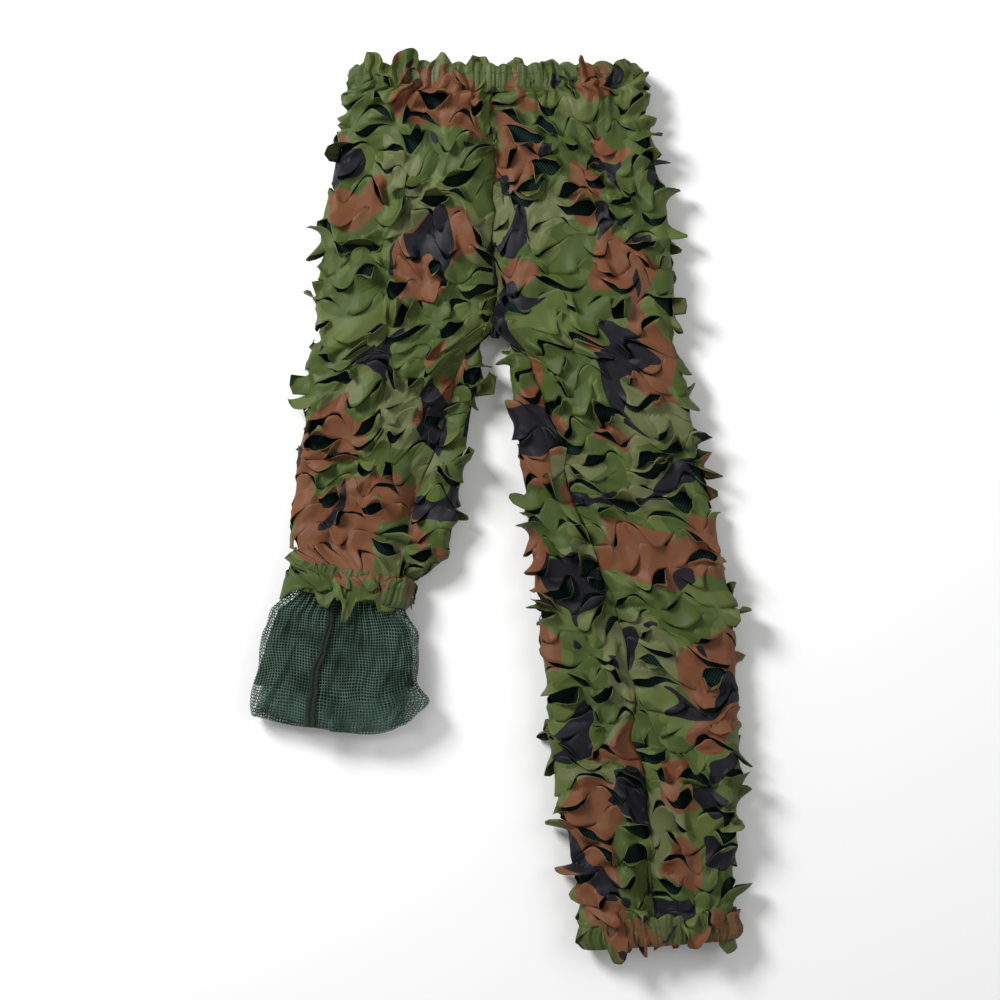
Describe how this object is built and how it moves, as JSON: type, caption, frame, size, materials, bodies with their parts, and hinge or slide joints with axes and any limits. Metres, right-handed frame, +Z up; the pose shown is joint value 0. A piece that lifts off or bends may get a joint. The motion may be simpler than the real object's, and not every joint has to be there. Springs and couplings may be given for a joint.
{
  "type": "ghillie trousers",
  "caption": "Leafy camouflage trousers lying flat, one leg end turned inside out to show the mesh lining, with folds at the hips and knees.",
  "frame": {"origin": "on the floor, under the middle of the bounding box of the trousers lying flat with their front up", "axes": "+Y points to the waist and -Y to the ankles, +X to the right as seen from above, +Z up out of the front of the trousers"},
  "size_m": [0.5834, 1.0194, 0.0494],
  "materials": {
    "leaf_cloth": "thin woven cloth, cut into leaf flaps, woodland print, slight sheen",
    "lining_mesh": "open knitted netting, matt",
    "seam_tape": "overlocked seam allowance, matt",
    "hem_cloth": "gathered woven cloth, slight sheen",
    "elastic": "braided cover, matt"
  },
  "bodies": {
    "pelvis": {"centre_seam_back": "seam_tape", "centre_seam_front": "seam_tape", "hip_fold_left": "leaf_cloth", "hip_fold_right": "leaf_cloth", "hip_lining_back": "lining_mesh", "hip_lining_front": "lining_mesh", "hip_shell_back_left": "leaf_cloth", "hip_shell_back_right": "leaf_cloth", "hip_shell_front_left": "leaf_cloth", "hip_shell_front_right": "leaf_cloth", "waist_casing_back": "hem_cloth", "waist_casing_front": "hem_cloth", "waist_elastic": "elastic"},
    "left_thigh": {"left_thigh_fold_left": "leaf_cloth", "left_thigh_fold_right": "leaf_cloth", "left_thigh_lining_back": "lining_mesh", "left_thigh_lining_front": "lining_mesh", "left_thigh_seam": "seam_tape", "left_thigh_shell_back": "leaf_cloth", "left_thigh_shell_left": "leaf_cloth", "left_thigh_shell_right": "leaf_cloth"},
    "left_shin": {"left_ankle_casing_back": "hem_cloth", "left_ankle_casing_front": "hem_cloth", "left_ankle_elastic": "elastic", "left_cuff_edge_back": "lining_mesh", "left_cuff_edge_front": "lining_mesh", "left_cuff_lining_back": "lining_mesh", "left_cuff_lining_left": "lining_mesh", "left_cuff_lining_right": "lining_mesh", "left_cuff_seam": "seam_tape", "left_cuff_shell_back": "leaf_cloth", "left_cuff_shell_front": "leaf_cloth", "left_cuff_side_left": "lining_mesh", "left_cuff_side_right": "lining_mesh", "left_shin_fold_left": "leaf_cloth", "left_shin_fold_right": "leaf_cloth", "left_shin_lining_back": "lining_mesh", "left_shin_lining_front": "lining_mesh", "left_shin_shell_back": "leaf_cloth", "left_shin_shell_front": "leaf_cloth"},
    "right_thigh": {"right_thigh_fold_left": "leaf_cloth", "right_thigh_fold_right": "leaf_cloth", "right_thigh_lining_back": "lining_mesh", "right_thigh_lining_front": "lining_mesh", "right_thigh_seam": "seam_tape", "right_thigh_shell_back": "leaf_cloth", "right_thigh_shell_left": "leaf_cloth", "right_thigh_shell_right": "leaf_cloth"},
    "right_shin": {"right_ankle_casing_back": "hem_cloth", "right_ankle_casing_front": "hem_cloth", "right_ankle_elastic": "elastic", "right_shin_fold_left": "leaf_cloth", "right_shin_fold_right": "leaf_cloth", "right_shin_lining_back": "lining_mesh", "right_shin_lining_front": "lining_mesh", "right_shin_seam": "seam_tape", "right_shin_shell_back": "leaf_cloth", "right_shin_shell_left": "leaf_cloth", "right_shin_shell_right": "leaf_cloth"}
  },
  "joints": [
    {"name": "left_hip", "type": "hinge", "parent": "pelvis", "child": "left_thigh", "pos_m": [-0.10904, 0.19168, 0.0494], "axis": [-1, 0, 0], "range_deg": [0, 90]},
    {"name": "left_knee", "type": "hinge", "parent": "left_thigh", "child": "left_shin", "pos_m": [-0.14421, -0.044, 0.0494], "axis": [-0.989, 0.1478, 0], "range_deg": [0, 120]},
    {"name": "right_hip", "type": "hinge", "parent": "pelvis", "child": "right_thigh", "pos_m": [0.11196, 0.19168, 0.0494], "axis": [-1, 0, 0], "range_deg": [0, 90]},
    {"name": "right_knee", "type": "hinge", "parent": "right_thigh", "child": "right_shin", "pos_m": [0.16546, -0.1464, 0.0494], "axis": [-0.9877, -0.1564, 0], "range_deg": [0, 120]}
  ]
}
